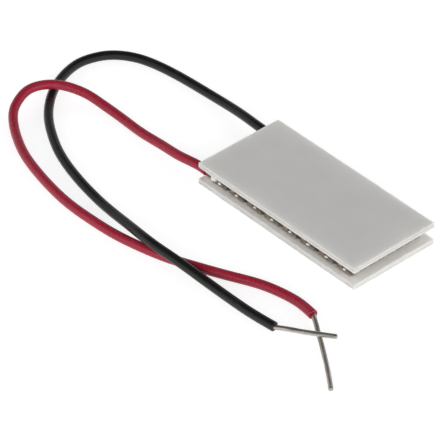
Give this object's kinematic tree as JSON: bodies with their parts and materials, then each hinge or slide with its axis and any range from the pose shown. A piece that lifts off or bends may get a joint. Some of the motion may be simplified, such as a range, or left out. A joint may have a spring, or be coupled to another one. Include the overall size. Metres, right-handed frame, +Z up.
{
  "type": "thermoelectric cooling module",
  "caption": "Flat thermoelectric cooler: two oblong ceramic plates joined by rows of semiconductor legs, with a red and a black stripped lead from one short end.",
  "frame": {"origin": "middle of the lower, hot face, on the surface that the module rests on", "axes": "+X along the long side, away from the leads; +Y across it, from the red lead's side to the black lead's side; +Z up, from the hot plate to the cold plate"},
  "size_m": [0.0773, 0.0326, 0.0036],
  "materials": {
    "ceramic": "matte",
    "copper": "satin",
    "n_leg": "satin",
    "p_leg": "satin",
    "solder": "gloss",
    "red_insulation": "satin",
    "black_insulation": "satin",
    "tinned_wire": "satin"
  },
  "bodies": {
    "root": {"hot_plate": "ceramic", "cold_plate": "ceramic", "hot_tabs_row_1": "copper", "hot_tabs_row_2": "copper", "hot_tabs_row_3": "copper", "hot_tabs_row_4": "copper", "hot_tabs_row_5": "copper", "hot_tabs_row_6": "copper", "hot_tabs_row_7": "copper", "hot_tabs_row_8": "copper", "cold_tabs_row_1": "copper", "cold_tabs_row_2": "copper", "cold_tabs_row_3": "copper", "cold_tabs_row_4": "copper", "cold_tabs_row_5": "copper", "cold_tabs_row_6": "copper", "cold_tabs_row_7": "copper", "cold_tabs_row_8": "copper", "cold_turn_tabs": "copper", "red_lead_tab": "copper", "black_lead_tab": "copper", "n_legs_row_1": "n_leg", "n_legs_row_2": "n_leg", "n_legs_row_3": "n_leg", "n_legs_row_4": "n_leg", "n_legs_row_5": "n_leg", "n_legs_row_6": "n_leg", "n_legs_row_7": "n_leg", "n_legs_row_8": "n_leg", "p_legs_row_1": "p_leg", "p_legs_row_2": "p_leg", "p_legs_row_3": "p_leg", "p_legs_row_4": "p_leg", "p_legs_row_5": "p_leg", "p_legs_row_6": "p_leg", "p_legs_row_7": "p_leg", "p_legs_row_8": "p_leg", "solder_row_1": "solder", "solder_row_2": "solder", "solder_row_3": "solder", "solder_row_4": "solder", "solder_row_5": "solder", "solder_row_6": "solder", "solder_row_7": "solder", "solder_row_8": "solder", "cold_turn_solder": "solder", "red_lead_joint": "solder", "black_lead_joint": "solder", "red_soldered_end": "tinned_wire", "black_soldered_end": "tinned_wire", "red_lead": "red_insulation", "black_lead": "black_insulation", "red_bare_end": "tinned_wire", "black_bare_end": "tinned_wire"}
  },
  "joints": []
}
